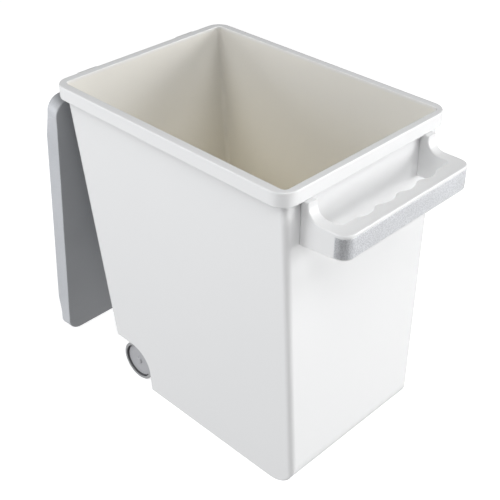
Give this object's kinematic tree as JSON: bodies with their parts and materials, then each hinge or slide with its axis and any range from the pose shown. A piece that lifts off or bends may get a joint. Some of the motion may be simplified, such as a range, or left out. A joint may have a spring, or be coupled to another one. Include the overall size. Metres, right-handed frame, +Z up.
{
  "type": "wheeled waste bin",
  "caption": "Open-topped plastic tub with a flat rim, U-shaped carry handle with finger grooves, folded-back lid on a double-jointed hinge, and small rear wheels.",
  "frame": {"origin": "on the floor, under the middle of the rim, on the flat underside of the tub", "axes": "+Z up; -Y towards the carry handle; +Y towards the hinge and wheels; +X to the right seen from the handle side; the object mirrors about X = 0"},
  "size_m": [0.2428, 0.4285, 0.376],
  "materials": {
    "white_shell": "satin, faint orange-peel",
    "grip": "fine stipple",
    "zinc": "bright zinc plating",
    "hinge_plastic": "satin",
    "lid_plastic": "fine matt grain",
    "liner_plastic": "satin",
    "seal_rubber": "matt",
    "spacer_plastic": "satin",
    "wheel_tread": "matt",
    "wheel_plastic": "satin",
    "hub_plastic": "satin"
  },
  "bodies": {
    "bin": {"bin_body": "white_shell", "handle_frame": "white_shell", "grip_strip": "grip", "handle_screws": "zinc", "hinge_base_left": "hinge_plastic", "hinge_base_right": "hinge_plastic", "bin_hinge_pins": "zinc", "hinge_screws": "zinc", "axle": "zinc", "axle_spacers": "spacer_plastic", "axle_nuts": "zinc"},
    "hinge_links": {"hinge_link_left": "hinge_plastic", "hinge_link_right": "hinge_plastic"},
    "lid": {"lid_cover": "lid_plastic", "lid_liner": "liner_plastic", "lid_seal": "seal_rubber", "lid_hinge_pins": "zinc"},
    "wheel_left": {"wheel_tyre_left": "wheel_tread", "wheel_hub_left": "hub_plastic", "wheel_cap_left": "wheel_plastic"},
    "wheel_right": {"wheel_tyre_right": "wheel_tread", "wheel_hub_right": "hub_plastic", "wheel_cap_right": "wheel_plastic"}
  },
  "joints": [
    {"name": "link_hinge", "type": "hinge", "parent": "bin", "child": "hinge_links", "pos_m": [0, 0.171, 0.3694], "axis": [1, 0, 0], "range_deg": [0, 123.4]},
    {"name": "lid_hinge", "type": "hinge", "parent": "hinge_links", "child": "lid", "pos_m": [0, 0.17779, 0.36134], "axis": [1, 0, 0], "range_deg": [0, 141.44]},
    {"name": "wheel_left_spin", "type": "hinge", "parent": "bin", "child": "wheel_left", "pos_m": [-0.0861, 0.0939, 0.0253], "axis": [1, 0, 0], "continuous": true},
    {"name": "wheel_right_spin", "type": "hinge", "parent": "bin", "child": "wheel_right", "pos_m": [0.0861, 0.0939, 0.0253], "axis": [1, 0, 0], "continuous": true}
  ]
}
